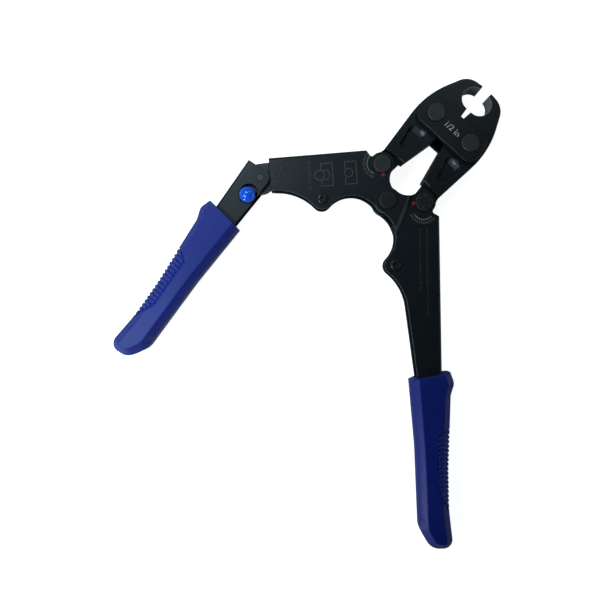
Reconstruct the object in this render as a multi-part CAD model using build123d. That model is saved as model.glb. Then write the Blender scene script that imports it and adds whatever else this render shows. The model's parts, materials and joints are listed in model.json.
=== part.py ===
from build123d import *
from math import asin, atan2, cos, degrees, radians, sin, sqrt, tan
import os

os.makedirs("parts", exist_ok=True)

# Compound-lever crimping plier, lying flat, handles open and the left handle folded.
# The centre pivot stands at x = y = 0, the jaws point along +Y, the surface below is z = 0.
# Lengths in millimetres, angles in degrees.

# Linkage
short_arm = 28.0  # centre pivot to dial bolt
open_angle = 50.0  # short arm from the tool axis, handles open
closed_angle = 79.5  # short arm from the tool axis, dies shut
pin_spacing = 34.4  # between the two strap pins
jaw_link = 55.2  # strap pin to dial bolt
fold_angle = 50.5  # rear arm turned in from the left lever

# Fits and clearances
running_fit = 0.05  # radial, where a pin turns
seat_fit = 0.02  # radial, where a pin stays
face_gap = 0.1  # between flat faces that slide
side_gap = 0.3  # each side of a tongue in its channel

# Heights, each from the mid-plane unless it is a thickness
mid_z = 14.1  # mid-plane above the surface below, and the length of the pins' rear ends
jaw_half = 8.5
channel_half = 5.0
sheet = 3.0  # lever sheet thickness
strap_thickness = 4.0
grip_half = 12.0

# Lever outline, handle along +X, outer edge towards +Y, centre pivot at the origin
dial_bearing = 86.85  # dial bolt seen from the pivot, measured from the handle
web_rise = 2.75  # outer edge beyond the nose
knuckle_radius = 9.7
nose_radius = 9.2
crotch_radius = 11.8
scallop_radius = 22.0
hump_radius = 7.7
waist_radius = 40.0
notch_radius = 2.0
bend_share = 0.9  # outer bend radius over the sheet thickness
web_start = 12.6
web_slant = 62.0
stop_reach = 48.8  # stop screw along the handle
stop_rise = 5.4  # stop screw across the handle
handle_station = 130.0  # where the handle's width is taken
handle_width = 19.3
handle_taper = 0.12
tang_width = 17.0
tang_cover = 26.8  # from the tang's end to the grip's end

# Joggle that carries the right lever's ears over the left lever's
joggle_bearing = 66.2
joggle_distance = 14.7
joggle_run = 3.4
joggle_bend = 2.5

# Jaws, closed, with the origin midway between the strap pins
die_radius = 8.95
die_reach = 26.4
mouth_wall = 3.05  # beyond the die
mouth_corner = 13.1
mouth_radius = 14.0
cheek_outer = 4.3  # cheek beyond the dial bolt
cheek_rise = 8.4
cheek_radius = 66.0
parting_gap = 0.05
parting_end = 1.0
shoulder_rise = 10.7  # shoulder above the dial bolt
foot_inner = 12.6  # shoulder's ends from the dial bolt
foot_outer = 5.2
jaw_chamfer = 0.6
tongue_cover = 0.6  # lever nose beyond the tongue's round end
tongue_root = 3.5  # tongue run into the jaw above its shoulder
tongue_inset = 1.2
pocket_top = 16.2  # below the pin line
pocket_bottom = 35.5
pocket_top_inner = 14.9  # pocket's corners from the dial bolt
pocket_top_outer = 0.4
pocket_low_inner = 7.8
pocket_low_outer = 1.7
pocket_depth = 3.0
pocket_radius = 3.0
pocket_slope = 0.8
pocket_end_slope = 3.8

# Straps
front_strap_low = 12.3  # below the pin line
rear_strap_low = 14.2
strap_high = 10.4  # above the pin line
strap_mid = 1.0  # widest point, below the pin line
strap_low_side = 11.4  # beyond the pins
strap_mid_side = 12.2
strap_high_side = 9.1
strap_low_radius = 7.0
strap_mid_radius = 15.0
strap_high_radius = 2.5
strap_chamfer = 0.4

# Pins, bolts and screws
strap_pin_radius = 5.0
strap_head_radius = 6.6
strap_head_height = 1.6
centre_pin_radius = 5.0
centre_head_radius = 6.2
centre_head_height = 1.9
bush_radius = 7.5
head_chamfer = 0.4
clip_thickness = 0.9
clip_depth = 0.8  # groove below the pin's surface
clip_rim = 1.6  # ring beyond the pin's surface
clip_opening = 4.0
dial_head_radius = 6.55
dial_head_height = 2.1
dial_front_radius = 5.0
dial_jaw_radius = 4.0
dial_rear_radius = 3.5
dial_thread_radius = 3.0
dial_washer_radius = 5.6
dial_washer_thickness = 1.0
dial_nut_flats = 9.0
dial_nut_height = 3.0
thread_tail = 0.5  # bolt end beyond its nut
stop_radius = 2.5
stop_head_radius = 4.0
stop_head_height = 2.2
stop_head_round = 1.4
stop_socket_flats = 3.0
stop_socket_depth = 1.4
stop_sleeve_radius = 4.5
stop_nut_flats = 8.0
stop_nut_height = 3.0

# Fold hinge and rear arm
left_end = 87.0  # left lever's square end
fold_reach = 7.4  # hinge pin beyond that end
fold_inset = 14.6  # hinge pin from the outer edge
fold_pin_radius = 2.9
fold_pin_proud = 0.6
tongue_gap = 1.2  # block's round tongue from the arm's web
fold_ear_gap = 0.6  # arm's round ears from the left lever's end
arm_setback = 1.0  # arm towards the hinge pin
arm_rise = 0.8  # arm's outer edge beyond the left lever's
arm_lead = 6.1  # arm's web before the hinge pin
arm_drop = 6.9  # arm's inner edge below the hinge pin
arm_taper = 0.074
block_length = 18.0
block_drop = 0.6  # block's lower edge inside the ears
rivet_radius = 3.15
outer_rivet_back = 12.0  # rivets from the left lever's end
outer_rivet_inset = 8.0  # rivets from the outer edge
inner_rivet_back = 5.2
inner_rivet_inset = 15.6

# Lock button
lock_gap = 1.3  # spring from the block's round tongue
lock_rise = 0.7  # plunger outward from the hinge pin
lock_hole_radius = 6.8
lock_hole_slot = 2.0
lock_flange_radius = 6.4
lock_flange_thickness = 0.8
lock_flange_depth = 0.4  # flange below the ear's face
lock_stem_radius = 2.6
button_radius = 6.1
button_wall = 1.9
button_height = 5.4
button_edge = 0.8
spring_radius = 3.5
spring_wire = 0.8
spring_turns = 5
wire_sides = 8
spring_end_gap = 0.05

# Grips, along the handle from the mouth and inward from the lever's outer edge
grip_mouth = 131.2
grip_length = 134.8
mouth_slant = 5.6
mouth_outer = 6.7
mouth_inner = 24.0
flare_at = 8.6
flare_height = 9.7
flare_radius = 7.0
flare_end = 17.6
flare_hollow = 9.0
waist_at = 73.6
waist_outer = 4.0
waist_hollow = 200.0
heel_rise_back = 29.0  # from the grip's end
heel_rise_hollow = 100.0
heel_outer = 7.0
heel_outer_radius = 7.0
heel_inner = 10.1
heel_inner_radius = 11.0
heel_back = 15.0  # from the grip's end
heel_width = 18.7
heel_radius = 16.0
belly_back = 77.0  # from the grip's end
belly_width = 20.2
belly_hollow = 150.0
facet_width = 5.5
facet_depth = 7.0
rib_count = 16
rib_margin = 3.0  # plain ends of the ribbed panel
rib_groove = 1.5
rib_depth = 0.8
panel_start = 43.3
panel_back = 30.3  # from the grip's end
panel_lead = 4.5
panel_tail = 16.0
panel_width = 5.4  # inward from the lever's outer edge
panel_rim = 2.0  # square ends of the panel, inward from the waist
panel_border = 0.9

# Worked out from the sizes above
pivot = Vector(0, 0)
ear_half = channel_half + sheet
raised_half = ear_half + face_gap + sheet
strap_inner = jaw_half + face_gap
strap_outer = strap_inner + strap_thickness
tongue_half = channel_half - side_gap
tongue_radius = nose_radius - tongue_cover
lever_turn = 90 - open_angle - dial_bearing
dial_at = Vector(short_arm, 0).rotate(Axis.Z, dial_bearing)
stop_at = Vector(stop_reach, stop_rise)
outer_edge = dial_at.Y + nose_radius + web_rise
bend_radius = bend_share * sheet
web_corner = Vector(web_start, outer_edge)
handle_mark = Vector(handle_station, outer_edge - handle_width)
grip_end = grip_mouth + grip_length
tang_end = grip_end - tang_cover
tang_inner = outer_edge - tang_width
fold_at = Vector(left_end + fold_reach, outer_edge - fold_inset)
arm_hinge = fold_at + Vector(arm_setback, -arm_rise)
arm_mark = arm_hinge - Vector(0, arm_drop)
hinge_tongue_radius = fold_inset + arm_rise - sheet - tongue_gap
lock_reach = hinge_tongue_radius + lock_gap + spring_radius + spring_wire / 2
lock_at = arm_hinge + Vector(lock_reach, lock_rise)
fold_ear_radius = fold_reach - fold_ear_gap
outer_rivet_at = Vector(left_end - outer_rivet_back, outer_edge - outer_rivet_inset)
inner_rivet_at = Vector(left_end - inner_rivet_back, outer_edge - inner_rivet_inset)
flange_top = ear_half - lock_flange_depth
flange_bottom = flange_top - lock_flange_thickness
strap_pin_at = Vector(pin_spacing / 2, 0)
mouth_reach = die_reach + die_radius + mouth_wall
reach_out = 600.0  # larger than the tool


def jaw_lean(angle):
    """Turn of the jaw link from the tool axis for a short-arm angle."""
    return degrees(asin((short_arm * sin(radians(angle)) - pin_spacing / 2) / jaw_link))


def pin_line(angle):
    """Distance from the centre pivot to the strap pins for a short-arm angle."""
    return short_arm * cos(radians(angle)) + jaw_link * cos(radians(jaw_lean(angle)))


jaw_opening = jaw_lean(closed_angle) - jaw_lean(open_angle)
handle_travel = 2 * (closed_angle - open_angle)
dial_closed = Vector(short_arm * sin(radians(closed_angle)), -jaw_link * cos(radians(jaw_lean(closed_angle))))


def right(shape):
    """Place a shape drawn on the lever outline as part of the right lever."""
    return Pos(0, 0, mid_z) * Rot(0, 0, lever_turn) * shape


def left(shape):
    """Place a shape drawn on the lever outline as part of the left lever."""
    return mirror(right(shape), about=Plane.YZ)


def folded(shape):
    """Place a shape drawn on the lever outline as part of the rear arm, folded about its hinge."""
    return left(Pos(fold_at) * Rot(0, 0, -fold_angle) * Pos(-arm_hinge) * shape)


def head(shape):
    """Place a shape drawn about the pin line at the open head."""
    return Pos(0, pin_line(open_angle), mid_z) * shape


def opened(shape):
    """Swing a closed right jaw to its open place in the head."""
    return head(Pos(strap_pin_at) * Rot(0, 0, -jaw_opening) * Pos(-strap_pin_at) * shape)


def rod(point, radius, bottom, top):
    """Upright cylinder between two heights."""
    base = Pos(point.X, point.Y, bottom)
    return base * Cylinder(radius, top - bottom, align=(Align.CENTER, Align.CENTER, Align.MIN))


def tube(point, outer, inner, bottom, top):
    """Upright tube between two heights."""
    return rod(point, outer, bottom, top) - rod(point, inner, bottom, top)


def hexagon(point, flats, bottom, top):
    """Upright six-sided prism between two heights."""
    face = RegularPolygon(flats / 2, 6, major_radius=False)
    return extrude(Pos(point.X, point.Y, bottom) * face, top - bottom)


def retaining_ring(point, radius, top):
    """Open ring in the groove of a pin, below a given height."""
    ring = tube(point, radius + clip_rim, radius - clip_depth + seat_fit, top - clip_thickness, top)
    slot = Pos(point.X, point.Y - radius, top) * Box(clip_opening, 2 * radius, 4 * clip_thickness)
    return ring - slot


def headed_pin(point, radius, head_radius, seat, head_height, ring_seat, end):
    """Pin with a chamfered head above its seat and a groove for a ring near its rear end."""
    crown = rod(point, head_radius, seat, seat + head_height)
    crown = chamfer(crown.edges().group_by(Axis.Z)[-1], head_chamfer)
    groove = tube(point, radius + 1, radius - clip_depth, ring_seat - clip_thickness - face_gap, ring_seat)
    return crown + rod(point, radius, end, seat) - groove


def heading(vector):
    """Direction of a vector in degrees."""
    return degrees(atan2(vector.Y, vector.X))


def toward(centre, target, radius):
    """Point on a circle in the direction of a target."""
    return centre + (target - centre).normalized() * radius


def swing(centre, start, end, turn):
    """Arc about a centre from start to end, counter-clockwise for turn +1, clockwise for -1."""
    sweep = (heading(end - centre) - heading(start - centre)) * turn % 360 * turn
    return ThreePointArc(start, centre + (start - centre).rotate(Axis.Z, sweep / 2), end)


def touching_two(first, first_radius, second, second_radius, radius, side):
    """Centre of a circle that touches two circles from outside, left (+1) or right (-1) of their line."""
    step = second - first
    reach = first_radius + radius
    along = (step.length**2 + reach**2 - (second_radius + radius) ** 2) / (2 * step.length)
    across = sqrt(reach**2 - along**2)
    forward = step.normalized()
    return first + forward * along + forward.rotate(Axis.Z, 90 * side) * across


def touching_line(start, direction, centre, centre_radius, radius, pick):
    """Centre and touching point of a circle right of a line that touches another circle from outside."""
    forward = Vector(1, 0).rotate(Axis.Z, direction)
    base = start + forward.rotate(Axis.Z, -90) * radius
    along = (centre - base).dot(forward)
    across = (centre - base - forward * along).length
    found = base + forward * (along + pick * sqrt((centre_radius + radius) ** 2 - across**2))
    return found, found + forward.rotate(Axis.Z, 90) * radius


def tangent_point(point, centre, radius, side):
    """Where a line from a point touches a circle, on its left (+1) or right (-1) side."""
    step = point - centre
    swing_by = degrees(asin(sqrt(1 - (radius / step.length) ** 2)))
    return centre + step.normalized().rotate(Axis.Z, side * swing_by) * radius


def rounded_outline(corners):
    """Face within a polygon whose corners, each (x, y, radius), are rounded by tangent arcs."""
    edges = []
    entries = []
    exits = []
    for i, (x, y, radius) in enumerate(corners):
        here = Vector(x, y)
        before = (Vector(*corners[i - 1][:2]) - here).normalized()
        after = (Vector(*corners[(i + 1) % len(corners)][:2]) - here).normalized()
        half = radians(before.get_angle(after)) / 2
        entries.append(here + before * (radius / tan(half)))
        exits.append(here + after * (radius / tan(half)))
        if radius:
            crown = here + (before + after).normalized() * (radius / sin(half) - radius)
            edges.append(ThreePointArc(entries[i], crown, exits[i]))
    edges += [Line(exits[i - 1], entries[i]) for i in range(len(corners))]
    return make_face(edges)


def handle_tail(mark, taper):
    """Corners of a tang's end, whose inner edge runs from a mark until it is tang_width wide."""
    parallel_from = mark.X + (tang_inner - mark.Y) / taper
    return [Vector(tang_end, outer_edge), Vector(tang_end, tang_inner), Vector(parallel_from, tang_inner)]


def lever_plan(tail):
    """Outline of a lever's ears, with the corners of its handle end given."""
    crotch = touching_two(pivot, knuckle_radius, dial_at, nose_radius, crotch_radius, 1)
    scallop = touching_two(pivot, knuckle_radius, stop_at, hump_radius, scallop_radius, -1)
    taper = degrees(atan2(handle_taper, 1))
    waist, waist_touch = touching_line(handle_mark, taper, stop_at, hump_radius, waist_radius, 1)
    notch, notch_touch = touching_line(web_corner, web_slant + 180, dial_at, nose_radius, notch_radius, -1)
    hump_start = toward(stop_at, waist, hump_radius)
    hump_end = toward(stop_at, scallop, hump_radius)
    knuckle_start = toward(pivot, scallop, knuckle_radius)
    knuckle_end = toward(pivot, crotch, knuckle_radius)
    nose_start = toward(dial_at, crotch, nose_radius)
    nose_end = toward(dial_at, notch, nose_radius)
    handle = Polyline(web_corner, *tail, waist_touch)
    return make_face(
        handle.edges()
        + [
            swing(waist, waist_touch, hump_start, 1),
            swing(stop_at, hump_start, hump_end, -1),
            swing(scallop, hump_end, knuckle_start, 1),
            swing(pivot, knuckle_start, knuckle_end, -1),
            swing(crotch, knuckle_end, nose_start, 1),
            swing(dial_at, nose_start, nose_end, -1),
            swing(notch, nose_end, notch_touch, 1),
            Line(notch_touch, web_corner),
        ]
    )


def flat_sheets():
    """The two flat sheets that a channel's ears are cut from."""
    slab = Pos(0, 0, channel_half + sheet / 2) * Box(2 * reach_out, 2 * reach_out, sheet)
    return slab + mirror(slab, about=Plane.XY)


def joggled_sheets():
    """The same two sheets, stepped outward around the centre pivot."""
    near = joggle_distance - joggle_run / 2
    far = joggle_distance + joggle_run / 2
    lift = raised_half - ear_half
    section = rounded_outline(
        [
            (-reach_out, channel_half + lift, 0),
            (near, channel_half + lift, joggle_bend),
            (far, channel_half, joggle_bend),
            (reach_out, channel_half, 0),
            (reach_out, ear_half, 0),
            (far, ear_half, joggle_bend),
            (near, ear_half + lift, joggle_bend),
            (-reach_out, ear_half + lift, 0),
        ]
    )
    across = Vector(1, 0).rotate(Axis.Z, joggle_bearing)
    along = across.rotate(Axis.Z, -90)
    slab = extrude(Plane(origin=(0, 0, 0), x_dir=across, z_dir=along) * section, reach_out, both=True)
    return slab + mirror(slab, about=Plane.XY)


def channel(plan, sheets, web_from):
    """Folded channel: two ears of an outline, joined by a web along the outer edge."""
    web = Pos(web_from, outer_edge - sheet, 0) * Box(
        reach_out, sheet, 2 * ear_half, align=(Align.MIN, Align.MIN, Align.CENTER)
    )
    body = extrude(plan, reach_out, both=True) & (sheets + web)
    bends = [
        edge
        for edge in body.edges().filter_by(Axis.X)
        if abs(edge.center().Y - outer_edge) < 0.01 and abs(abs(edge.center().Z) - ear_half) < 0.01
    ]
    return fillet(bends, bend_radius)


def lever_holes(pin_fit):
    """Holes for the centre pin, the dial bolt and the stop screw of a lever."""
    holes = rod(pivot, centre_pin_radius + pin_fit, -raised_half, raised_half)
    holes += rod(dial_at, dial_front_radius + running_fit, 0, ear_half)
    holes += rod(dial_at, dial_rear_radius + running_fit, -ear_half, 0)
    return holes + rod(stop_at, stop_radius + seat_fit, -ear_half, ear_half)


def right_lever():
    """Long channel lever with joggled ears and a tang for the grip."""
    plan = lever_plan(handle_tail(handle_mark, handle_taper))
    return channel(plan, joggled_sheets(), web_start) - lever_holes(seat_fit)


def left_lever():
    """Short channel lever that ends square at the fold hinge."""
    inner = handle_mark.Y + (left_end - handle_mark.X) * handle_taper
    plan = lever_plan([Vector(left_end, outer_edge), Vector(left_end, inner)])
    body = channel(plan, flat_sheets(), web_start) - lever_holes(running_fit)
    for point in (outer_rivet_at, inner_rivet_at):
        body -= rod(point, rivet_radius + seat_fit, -ear_half, ear_half)
    return body


def rear_arm():
    """Folding channel with rounded hinge ears, a hole for the lock button and a tang for the grip."""
    web_from = arm_hinge.X - arm_lead
    corners = [Vector(web_from, outer_edge), *handle_tail(arm_mark, arm_taper), arm_mark, arm_hinge]
    plan = make_face(Polyline(*corners, Vector(web_from, arm_hinge.Y), close=True))
    plan += Pos(arm_hinge) * Circle(fold_ear_radius)
    slot = rod(lock_at, lock_hole_radius, 0, ear_half)
    slot += rod(lock_at - Vector(lock_hole_slot, 0), lock_hole_radius, 0, ear_half)
    slot += Pos(lock_at.X, lock_at.Y, 0) * Box(
        lock_hole_slot, 2 * lock_hole_radius, ear_half, align=(Align.MAX, Align.CENTER, Align.MIN)
    )
    body = channel(plan, flat_sheets(), web_from) - slot
    body -= rod(arm_hinge, fold_pin_radius + seat_fit, -ear_half, ear_half)
    return body - rod(lock_at, lock_stem_radius + running_fit, -ear_half, 0)


def hinge_block():
    """Block in the left lever's end with a round tongue for the rear arm's hinge."""
    start = left_end - block_length
    top = outer_edge - sheet - face_gap
    low = handle_mark.Y + (left_end - handle_mark.X) * handle_taper + block_drop
    body = make_face(
        Polyline((start, top), (left_end, top), (left_end, low), (start, low), close=True)
    )
    body = extrude(body, channel_half - face_gap / 2, both=True)
    crest = fold_at + Vector(0, hinge_tongue_radius)
    shoulder = make_face(Polyline((left_end, top), crest, fold_at, (left_end, low), close=True))
    tongue = extrude(shoulder + Pos(fold_at) * Circle(hinge_tongue_radius), tongue_half, both=True)
    block = body + tongue - rod(fold_at, fold_pin_radius + running_fit, -channel_half, channel_half)
    for point in (outer_rivet_at, inner_rivet_at):
        block -= rod(point, rivet_radius + seat_fit, -channel_half, channel_half)
    return block


def block_rivets():
    """Two flush rivets through the left lever's ears and the block."""
    outer_rivet = rod(outer_rivet_at, rivet_radius, -ear_half, ear_half)
    return outer_rivet + rod(inner_rivet_at, rivet_radius, -ear_half, ear_half)


def fold_hinge_pin():
    """Pin of the fold hinge with slightly proud, rounded ends."""
    length = ear_half + fold_pin_proud
    pin = rod(arm_hinge, fold_pin_radius, -length, length)
    return chamfer(pin.edges().filter_by(GeomType.CIRCLE), fold_pin_proud - face_gap)


def jaw_plan():
    """Outline of the closed right jaw above its shoulder."""
    shoulder = dial_closed.Y + shoulder_rise
    return rounded_outline(
        [
            (parting_gap, mouth_reach, 0),
            (parting_gap, parting_end, 0),
            (dial_closed.X - foot_inner, shoulder, 0),
            (dial_closed.X + foot_outer, shoulder, 0),
            (dial_closed.X + cheek_outer, cheek_rise, cheek_radius),
            (mouth_corner, mouth_reach, mouth_radius),
        ]
    )


def jaw_tongue():
    """Thin tongue below the jaw's shoulder, rounded about the dial bolt."""
    root = dial_closed.Y + shoulder_rise + tongue_root
    inner = Vector(dial_closed.X - foot_inner + tongue_inset, root)
    outer = Vector(dial_closed.X + foot_outer - tongue_inset, root)
    outer_touch = tangent_point(outer, dial_closed, tongue_radius, -1)
    inner_touch = tangent_point(inner, dial_closed, tongue_radius, 1)
    edges = Polyline(inner_touch, inner, outer, outer_touch).edges()
    face = make_face(edges + [swing(dial_closed, outer_touch, inner_touch, -1)])
    return extrude(face, tongue_half, both=True)


def jaw_pocket():
    """Tapered recess in the jaw's front face."""
    top_inner = dial_closed.X - pocket_top_inner
    top_outer = dial_closed.X - pocket_top_outer
    low_inner = dial_closed.X - pocket_low_inner
    low_outer = dial_closed.X - pocket_low_outer
    rim = rounded_outline(
        [
            (top_inner, -pocket_top, pocket_radius),
            (top_outer, -pocket_top, pocket_radius),
            (low_outer, -pocket_bottom, pocket_radius),
            (low_inner, -pocket_bottom, pocket_radius),
        ]
    )
    floor_radius = pocket_radius - pocket_slope
    floor = rounded_outline(
        [
            (top_inner + pocket_slope, -pocket_top - pocket_end_slope, floor_radius),
            (top_outer - pocket_slope, -pocket_top - pocket_end_slope, floor_radius),
            (low_outer - pocket_slope, -pocket_bottom + pocket_slope, floor_radius),
            (low_inner + pocket_slope / 2, -pocket_bottom + pocket_slope, floor_radius),
        ]
    )
    return loft([Pos(0, 0, jaw_half - pocket_depth) * floor, Pos(0, 0, jaw_half) * rim])


def jaw_blank():
    """Closed right jaw without the hole for the dial bolt."""
    body = extrude(jaw_plan(), jaw_half, both=True)
    rims = body.faces().filter_by(Axis.Z).edges().filter_by(lambda edge: edge.center().X > 2 * parting_gap)
    body = chamfer(rims, jaw_chamfer)
    body -= rod(Vector(0, die_reach), die_radius, -jaw_half, jaw_half)
    pocket = jaw_pocket()
    body = body - pocket - mirror(pocket, about=Plane.XY)
    body += jaw_tongue()
    return body - rod(strap_pin_at, strap_pin_radius + running_fit, -jaw_half, jaw_half)


def turned(point, centre, angle):
    """A point turned about a centre."""
    return centre + (point - centre).rotate(Axis.Z, angle)


def bolt_wander(share):
    """Offset of the left dial bolt in the closed left jaw at a share of the handles' travel."""
    travel = handle_travel * share
    swing_in = jaw_opening * share
    bolt = turned(dial_at, pivot, lever_turn)
    left_bolt = Vector(-bolt.X, bolt.Y)
    left_pin = Vector(-strap_pin_at.X, pin_line(open_angle))
    right_pin = Vector(strap_pin_at.X, pin_line(open_angle))
    place = turned(left_bolt, pivot, travel)
    place = turned(place, bolt, -(travel / 2 + swing_in))
    place = turned(place, right_pin, swing_in)
    place = turned(place, left_pin, swing_in)
    return turned(place, left_pin, -jaw_opening) - turned(left_bolt, left_pin, -jaw_opening)


def right_jaw():
    """Right jaw with a round hole for its dial bolt."""
    return jaw_blank() - rod(dial_closed, dial_jaw_radius + running_fit, -tongue_half, tongue_half)


def left_jaw():
    """Left jaw, whose dial bolt hole is a short slot that lets the linkage's loop stay open."""
    body = mirror(jaw_blank(), about=Plane.YZ)
    centre = Vector(-dial_closed.X, dial_closed.Y)
    radius = dial_jaw_radius + running_fit + side_gap / 2
    wander = bolt_wander(0.5).length
    body -= rod(centre, radius, -tongue_half, tongue_half)
    body -= rod(centre - Vector(wander, 0), radius, -tongue_half, tongue_half)
    slot = Pos(centre.X, centre.Y, 0) * Box(
        wander, 2 * radius, 2 * tongue_half, align=(Align.MAX, Align.CENTER, Align.CENTER)
    )
    return body - slot


def strap(inner, outer, low):
    """Plate across both jaws between two heights, down to a lower edge."""
    corners = [
        (strap_pin_at.X + strap_low_side, -low, strap_low_radius),
        (strap_pin_at.X + strap_mid_side, -strap_mid, strap_mid_radius),
        (strap_pin_at.X + strap_high_side, strap_high, strap_high_radius),
    ]
    far_side = [(-x, y, radius) for x, y, radius in reversed(corners)]
    plate = extrude(Pos(0, 0, inner) * rounded_outline(corners + far_side), outer - inner, dir=(0, 0, 1))
    plate = chamfer(plate.faces().filter_by(Axis.Z).edges(), strap_chamfer)
    for side in (-1, 1):
        plate -= rod(strap_pin_at * side, strap_pin_radius + seat_fit, inner, outer)
    return plate


def strap_pin(side):
    """Headed pin through both straps and a jaw."""
    return headed_pin(
        strap_pin_at * side,
        strap_pin_radius,
        strap_head_radius,
        strap_outer,
        strap_head_height,
        -strap_outer,
        -mid_z,
    )


def strap_pin_clips():
    """Retaining rings of both strap pins."""
    right_ring = retaining_ring(strap_pin_at, strap_pin_radius, -strap_outer)
    return right_ring + mirror(right_ring, about=Plane.YZ)


def centre_pivot_pin():
    """Headed pin through both levers."""
    return headed_pin(
        pivot,
        centre_pin_radius,
        centre_head_radius,
        raised_half,
        centre_head_height,
        -raised_half,
        -mid_z,
    )


def centre_pivot_bush():
    """Spacer tube on the centre pin between the left lever's ears."""
    return tube(pivot, bush_radius, centre_pin_radius + running_fit, -channel_half, channel_half)


def dial_bolt():
    """Stepped bolt with a round dial head, front journal, jaw journal, rear journal and thread."""
    crown = rod(dial_at, dial_head_radius, ear_half, ear_half + dial_head_height)
    crown = chamfer(crown.edges().group_by(Axis.Z)[-1], head_chamfer)
    end = -ear_half - dial_washer_thickness - dial_nut_height - thread_tail
    bolt = crown + rod(dial_at, dial_front_radius, channel_half, ear_half)
    bolt += rod(dial_at, dial_jaw_radius, -channel_half, channel_half)
    bolt += rod(dial_at, dial_rear_radius, -ear_half, -channel_half)
    return bolt + rod(dial_at, dial_thread_radius, end, -ear_half)


def dial_washer():
    """Washer behind the rear ear."""
    inner = dial_thread_radius + running_fit
    return tube(dial_at, dial_washer_radius, inner, -ear_half - dial_washer_thickness, -ear_half)


def dial_nut():
    """Six-sided nut behind the washer."""
    top = -ear_half - dial_washer_thickness
    nut = hexagon(dial_at, dial_nut_flats, top - dial_nut_height, top)
    return nut - rod(dial_at, dial_thread_radius + running_fit, top - dial_nut_height, top)


def stop_screw():
    """Round-headed socket screw through the hump."""
    crown = rod(stop_at, stop_head_radius, ear_half, ear_half + stop_head_height)
    crown = fillet(crown.edges().group_by(Axis.Z)[-1], stop_head_round)
    top = ear_half + stop_head_height
    crown -= hexagon(stop_at, stop_socket_flats, top - stop_socket_depth, top)
    return crown + rod(stop_at, stop_radius, -ear_half - stop_nut_height - thread_tail, ear_half)


def stop_sleeve():
    """Spacer on the stop screw between the ears."""
    half = channel_half - face_gap / 2
    return tube(stop_at, stop_sleeve_radius, stop_radius + seat_fit, -half, half)


def stop_nut():
    """Six-sided nut on the stop screw."""
    nut = hexagon(stop_at, stop_nut_flats, -ear_half - stop_nut_height, -ear_half)
    return nut - rod(stop_at, stop_radius + seat_fit, -ear_half - stop_nut_height, -ear_half)


def lock_button():
    """Domed cap on the plunger."""
    top = flange_top + button_height
    rim = flange_top + button_wall
    rise = top - rim
    dome_radius = (button_radius**2 + rise**2) / (2 * rise)
    centre = Vector(0, top - dome_radius)
    profile = Polyline((0, top), (0, flange_top), (button_radius, flange_top), (button_radius, rim)).edges()
    crown = swing(centre, Vector(button_radius, rim), Vector(0, top), 1)
    cap = revolve(Plane.XZ * make_face(profile + [crown]), Axis.Z)
    rings = cap.edges().filter_by(lambda edge: edge.is_closed).sort_by(Axis.Z)
    cap = fillet(rings[-1], button_edge)
    return Pos(lock_at) * cap


def lock_plunger():
    """Flange below the cap with a stem through the rear ear."""
    stem_end = -ear_half - face_gap - 2 * clip_thickness
    stem = rod(lock_at, lock_stem_radius, stem_end, flange_bottom)
    ring_seat = -ear_half - face_gap
    groove_radius = lock_stem_radius - clip_depth
    groove = tube(lock_at, lock_stem_radius + 1, groove_radius, ring_seat - clip_thickness, ring_seat)
    return rod(lock_at, lock_flange_radius, flange_bottom, flange_top) + stem - groove


def lock_clip():
    """Retaining ring on the stem behind the rear ear."""
    return retaining_ring(lock_at, lock_stem_radius, -ear_half - face_gap)


def spring_point(turn, low, high):
    """Point and direction of the spring's centre line after a number of turns."""
    angle = 360 * turn
    climb = (high - low) / spring_turns
    point = Vector(spring_radius, 0, low + climb * turn).rotate(Axis.Z, angle)
    flow = Vector(0, radians(360) * spring_radius, climb).rotate(Axis.Z, angle)
    return point, flow.normalized()


def biarc(start, start_flow, end, end_flow):
    """Two arcs that leave one point and reach another in given directions."""
    step = end - start
    spread = 2 * (1 - start_flow.dot(end_flow))
    lean = step.dot(start_flow + end_flow)
    length = (sqrt(lean**2 + spread * step.dot(step)) - lean) / spread
    knee = start + start_flow * length
    middle = (knee + end - end_flow * length) * 0.5
    return [TangentArc(start, middle, tangent=start_flow), TangentArc(middle, end, tangent=middle - knee)]


def lock_spring():
    """Coil spring between the rear ear and the plunger's flange."""
    low = -channel_half + spring_wire / 2 + spring_end_gap
    high = flange_bottom - spring_wire / 2 - spring_end_gap
    arcs = []
    stations = [spring_point(i / 2, low, high) for i in range(2 * spring_turns + 1)]
    for (start, start_flow), (end, end_flow) in zip(stations, stations[1:]):
        arcs += biarc(start, start_flow, end, end_flow)
    points = [arc.position_at(share) for arc in arcs for share in (0, 0.25, 0.5, 0.75)]
    lap = 16  # points in one turn
    pairs = [(i, i + lap + k) for i in range(len(points) - lap - 2) for k in (-2, 0, 2)]
    least = min((points[j] - points[i]).length for i, j in pairs)
    print("spring: least gap between turns", round(least - spring_wire, 2))
    start, flow = stations[0]
    section = Plane(origin=start, z_dir=flow) * RegularPolygon(spring_wire / 2, wire_sides)
    return Pos(lock_at) * sweep(section, path=Wire(arcs))


def grip_plan():
    """Outline of a grip around a lever's tang."""
    corners = [
        (grip_mouth, mouth_outer, 0),
        (grip_mouth + flare_at, flare_height, flare_radius),
        (grip_mouth + flare_end, mouth_outer, flare_hollow),
        (grip_mouth + waist_at, waist_outer, waist_hollow),
        (grip_end - heel_rise_back, waist_outer, heel_rise_hollow),
        (grip_end, heel_outer, heel_outer_radius),
        (grip_end, -heel_inner, heel_inner_radius),
        (grip_end - heel_back, -heel_width, heel_radius),
        (grip_end - belly_back, -belly_width, belly_hollow),
        (grip_mouth + mouth_slant, -mouth_inner, 0),
    ]
    return rounded_outline([(x, outer_edge + y, radius) for x, y, radius in corners])


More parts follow.
